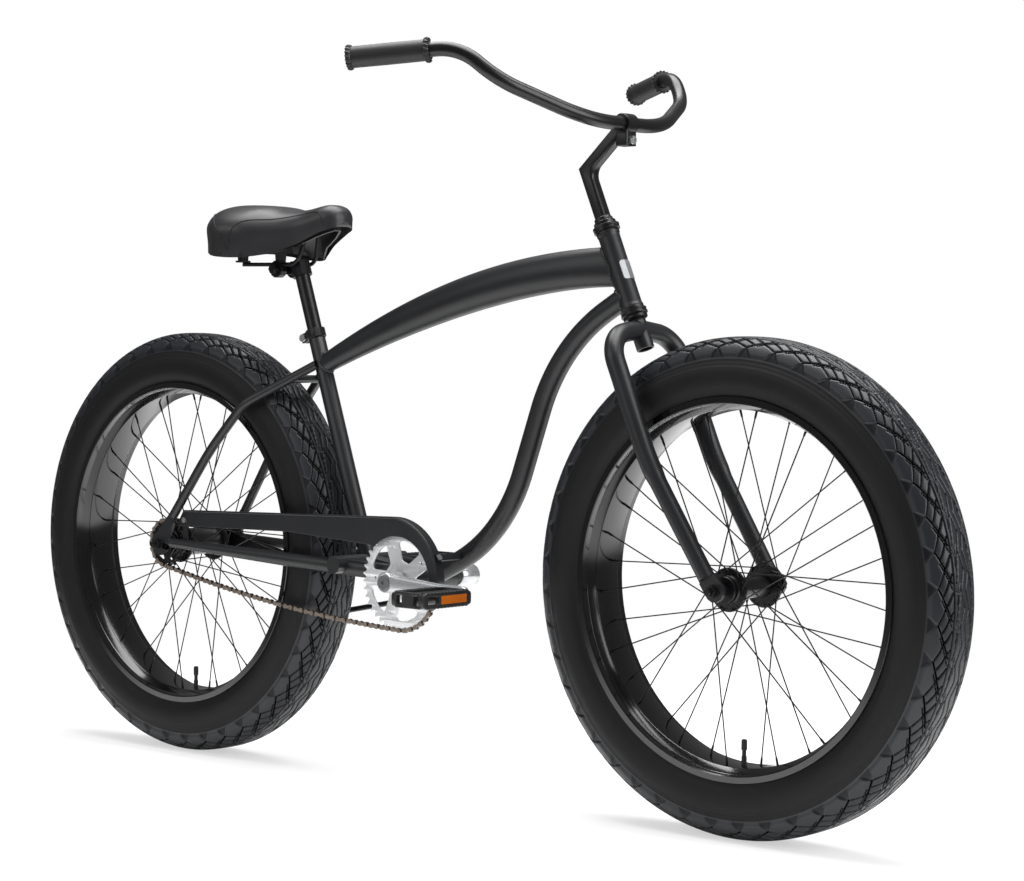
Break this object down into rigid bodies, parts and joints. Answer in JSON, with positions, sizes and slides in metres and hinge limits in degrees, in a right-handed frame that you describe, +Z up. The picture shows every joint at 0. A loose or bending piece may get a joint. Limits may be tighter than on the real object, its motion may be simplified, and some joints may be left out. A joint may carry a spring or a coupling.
{
  "type": "fat tire bicycle",
  "caption": "Cruiser bicycle with very wide tyres, arched top tube, swept handlebar, padded saddle, chain guard, single-speed chain drive and kickstand.",
  "frame": {"origin": "on the ground half way between the axles, in the middle plane, which is the bottom centre of the bounding box", "axes": "+X forward, towards the front wheel; +Y to the rider's left; +Z up"},
  "size_m": [1.956, 0.7276, 1.185],
  "materials": {
    "frame_paint": "satin charcoal black",
    "gloss_black": "gloss black",
    "black_steel": "black oxide",
    "bright_steel": "zinc plated",
    "silver_alloy": "satin silver",
    "bronze_chain": "bronze brown",
    "tyre_rubber": "matte",
    "tube_rubber": "matte",
    "black_resin": "moulded",
    "amber_lens": "clear moulded prism",
    "grip_leather": "sewn",
    "saddle_vinyl": "satin vinyl"
  },
  "bodies": {
    "frame": {"head_tube": "frame_paint", "top_tube": "frame_paint", "down_tube": "frame_paint", "seat_tube": "frame_paint", "bottom_bracket_shell": "frame_paint", "chainstay_right": "frame_paint", "chainstay_left": "frame_paint", "seatstay_right": "frame_paint", "seatstay_left": "frame_paint", "rear_dropouts": "frame_paint", "stay_bridges": "frame_paint", "head_badge": "silver_alloy", "bearing_cups": "gloss_black", "seat_clamp": "gloss_black", "frame_screws": "bright_steel", "chain_guard": "frame_paint", "rear_axle": "black_steel", "rear_axle_nuts": "black_steel", "brake_arm": "black_steel", "brake_strap": "black_steel", "chain": "bronze_chain", "kickstand_bracket": "frame_paint"},
    "fork": {"steerer_tube": "black_steel", "fork_blades": "frame_paint", "fork_dropouts": "frame_paint", "headset_races": "gloss_black", "front_axle": "black_steel", "front_axle_nuts": "black_steel"},
    "stem": {"stem": "gloss_black", "stem_bolts": "bright_steel"},
    "bar": {"handlebar": "gloss_black", "grips": "grip_leather"},
    "front_wheel": {"front_tyre": "tyre_rubber", "front_rim": "gloss_black", "front_spokes": "black_steel", "front_hub": "gloss_black", "front_inner_tube": "tube_rubber"},
    "rear_wheel": {"rear_tyre": "tyre_rubber", "rear_rim": "gloss_black", "rear_spokes": "black_steel", "rear_hub": "gloss_black", "rear_inner_tube": "tube_rubber"},
    "sprocket": {"rear_sprocket": "black_steel"},
    "crank": {"crank_spindle": "black_steel", "crank_arm_right": "silver_alloy", "crank_arm_left": "silver_alloy", "chainring": "silver_alloy", "crank_bolts": "black_steel", "pedal_axles": "black_steel"},
    "pedal_right": {"pedal_right": "black_resin", "pedal_reflectors_right": "amber_lens"},
    "pedal_left": {"pedal_left": "black_resin", "pedal_reflectors_left": "amber_lens"},
    "seat_post": {"seat_post": "black_steel", "saddle_clamp": "black_steel"},
    "saddle": {"saddle_cover": "saddle_vinyl", "saddle_base": "black_resin", "saddle_rails": "black_steel", "saddle_springs": "tube_rubber"},
    "kickstand": {"kickstand_leg": "black_steel"}
  },
  "joints": [
    {"name": "steer", "type": "hinge", "parent": "frame", "child": "fork", "pos_m": [0.35951, 0, 0.8455], "axis": [-0.3939, 0, 0.9191], "range_deg": [-50, 50]},
    {"name": "stem_height", "type": "slide", "parent": "fork", "child": "stem", "axis": [-0.3939, 0, 0.9191], "range_m": [-0.02, 0.03]},
    {"name": "bar_roll", "type": "hinge", "parent": "stem", "child": "bar", "pos_m": [0.36804, 0, 1.07025], "axis": [0, 1, 0], "range_deg": [-25, 25]},
    {"name": "front_wheel_spin", "type": "hinge", "parent": "fork", "child": "front_wheel", "pos_m": [0.605, 0, 0.373], "axis": [0, 1, 0], "continuous": true},
    {"name": "rear_wheel_spin", "type": "hinge", "parent": "frame", "child": "rear_wheel", "pos_m": [-0.605, 0, 0.373], "axis": [0, 1, 0], "continuous": true},
    {"name": "crank_spin", "type": "hinge", "parent": "frame", "child": "crank", "pos_m": [-0.03567, 0, 0.344], "axis": [0, 1, 0], "continuous": true, "deforming": ["chain"]},
    {"name": "sprocket_spin", "type": "hinge", "parent": "frame", "child": "sprocket", "pos_m": [-0.605, 0, 0.373], "axis": [0, 1, 0], "continuous": true},
    {"name": "pedal_right_spin", "type": "hinge", "parent": "crank", "child": "pedal_right", "pos_m": [0.1301, -0.165, 0.33531], "axis": [0, 1, 0], "continuous": true},
    {"name": "pedal_left_spin", "type": "hinge", "parent": "crank", "child": "pedal_left", "pos_m": [-0.20144, 0.165, 0.35269], "axis": [0, 1, 0], "continuous": true},
    {"name": "seat_height", "type": "slide", "parent": "frame", "child": "seat_post", "axis": [-0.3206, 0, 0.9472], "range_m": [-0.03, 0.04]},
    {"name": "saddle_tilt", "type": "hinge", "parent": "seat_post", "child": "saddle", "pos_m": [-0.37712, 0, 0.85644], "axis": [0, 1, 0], "range_deg": [-15, 15]},
    {"name": "kickstand_fold", "type": "hinge", "parent": "frame", "child": "kickstand", "pos_m": [-0.10567, 0.064, 0.304], "axis": [0, -1, 0], "range_deg": [0, 75]}
  ],
  "couplings": [
    {"joint": "sprocket_spin", "follows": "crank_spin", "ratio": 2}
  ]
}
